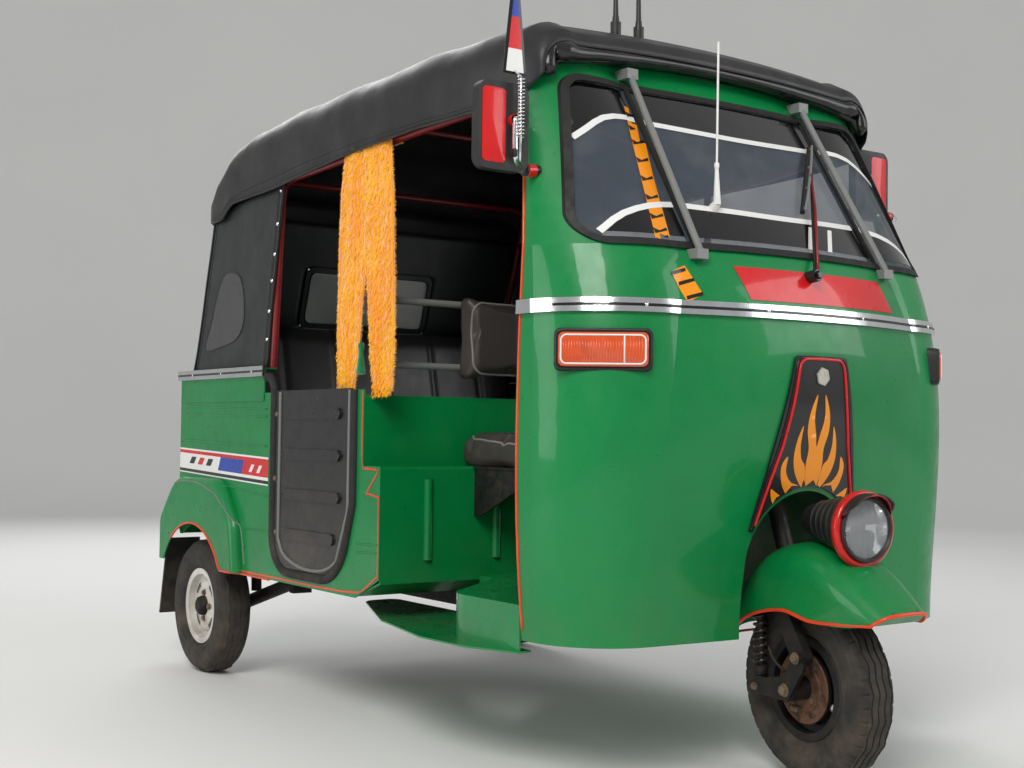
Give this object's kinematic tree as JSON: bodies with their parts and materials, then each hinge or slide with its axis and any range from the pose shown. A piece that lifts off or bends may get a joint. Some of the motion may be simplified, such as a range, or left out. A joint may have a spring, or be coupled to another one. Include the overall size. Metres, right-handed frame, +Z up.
{
  "type": "three-wheeled auto rickshaw with a vinyl hood",
  "caption": "Passenger three-wheeler with a steel cowl, framed windscreen, black vinyl hood, bench seat and handlebar steering on a leading-link fork",
  "frame": {"origin": "on the ground, midway between the front wheel's axle and the rear axles, on the centre plane", "axes": "+Z up, the front faces -Y, the vehicle's own right side is -X"},
  "size_m": [1.47, 2.5951, 1.9851],
  "materials": {
    "green_paint": "gloss",
    "black_panel": "satin",
    "red_paint": "satin",
    "grey_paint": "satin",
    "white_paint": "gloss",
    "black_steel": "satin",
    "bare_steel": "worn",
    "bright_strip": "polished",
    "cast_metal": "rough",
    "vinyl": "coated",
    "clear_vinyl": "cloudy",
    "dark_cover": "satin",
    "plush": "fluffy",
    "rubber": "matte",
    "tyre_rubber": "matte",
    "black_plastic": "satin",
    "white_plastic": "gloss",
    "amber_lens": "gloss",
    "red_lens": "gloss",
    "clear_lens": "clear",
    "clear_glass": "clear"
  },
  "bodies": {
    "body": {"apron_plate": "black_panel", "back_curtain": "vinyl", "back_window": "clear_vinyl", "belt_strips": "bright_strip", "body_side_left": "green_paint", "body_side_right": "green_paint", "bulkhead": "green_paint", "cabin_rails": "grey_paint", "canopy": "vinyl", "canopy_frame": "red_paint", "chassis": "black_steel", "cowl": "green_paint", "door_panel_right": "black_panel", "doorway_beading": "rubber", "driver_seat": "dark_cover", "driver_seat_frame": "black_steel", "engine": "cast_metal", "floor_pan": "green_paint", "indicator_housings": "black_plastic", "indicator_lenses": "amber_lens", "mirrors": "black_plastic", "mudflaps": "rubber", "passenger_seat": "dark_cover", "pennant": "black_plastic", "plush_cloth": "plush", "rear_deck": "green_paint", "rear_fenders": "green_paint", "rear_panel": "green_paint", "roof_aerials": "black_plastic", "screen_aerial": "white_plastic", "side_curtains": "vinyl", "tail_lamps": "red_lens", "trailing_arms": "black_steel", "wheel_well": "green_paint", "windscreen_bars": "grey_paint", "windscreen_glass": "clear_glass", "windscreen_seal": "rubber", "wiper": "black_plastic", "windscreen_frame": "green_paint", "canopy_hoops": "red_paint"},
    "steering": {"steering_fork": "grey_paint", "fork_link": "bare_steel", "spring_damper": "black_steel", "front_fender": "green_paint", "headlamp": "black_plastic", "headlamp_rim": "red_paint", "headlamp_lens": "clear_lens", "handlebar": "black_steel"},
    "front_wheel": {"tyre_front": "tyre_rubber", "rim_front": "black_steel"},
    "rear_wheel_left": {"tyre_rear_left": "tyre_rubber", "rim_rear_left": "white_paint"},
    "rear_wheel_right": {"tyre_rear_right": "tyre_rubber", "rim_rear_right": "white_paint"},
    "engine_hatch": {"engine_hatch": "green_paint"}
  },
  "joints": [
    {"name": "steering", "type": "hinge", "parent": "body", "child": "steering", "pos_m": [0, -1, 0.205], "axis": [0, 0.309, 0.9511], "range_deg": [-30, 42]},
    {"name": "front_wheel_spin", "type": "hinge", "parent": "steering", "child": "front_wheel", "pos_m": [0, -1, 0.205], "axis": [0.9945, -0.0994, 0.0323], "continuous": true},
    {"name": "rear_wheel_right_spin", "type": "hinge", "parent": "body", "child": "rear_wheel_right", "pos_m": [-0.575, 1, 0.205], "axis": [1, 0, 0], "continuous": true},
    {"name": "rear_wheel_left_spin", "type": "hinge", "parent": "body", "child": "rear_wheel_left", "pos_m": [0.575, 1, 0.205], "axis": [1, 0, 0], "continuous": true},
    {"name": "engine_hatch_hinge", "type": "hinge", "parent": "body", "child": "engine_hatch", "pos_m": [0, 1.179, 0.752], "axis": [1, 0, 0], "range_deg": [0, 85]}
  ]
}
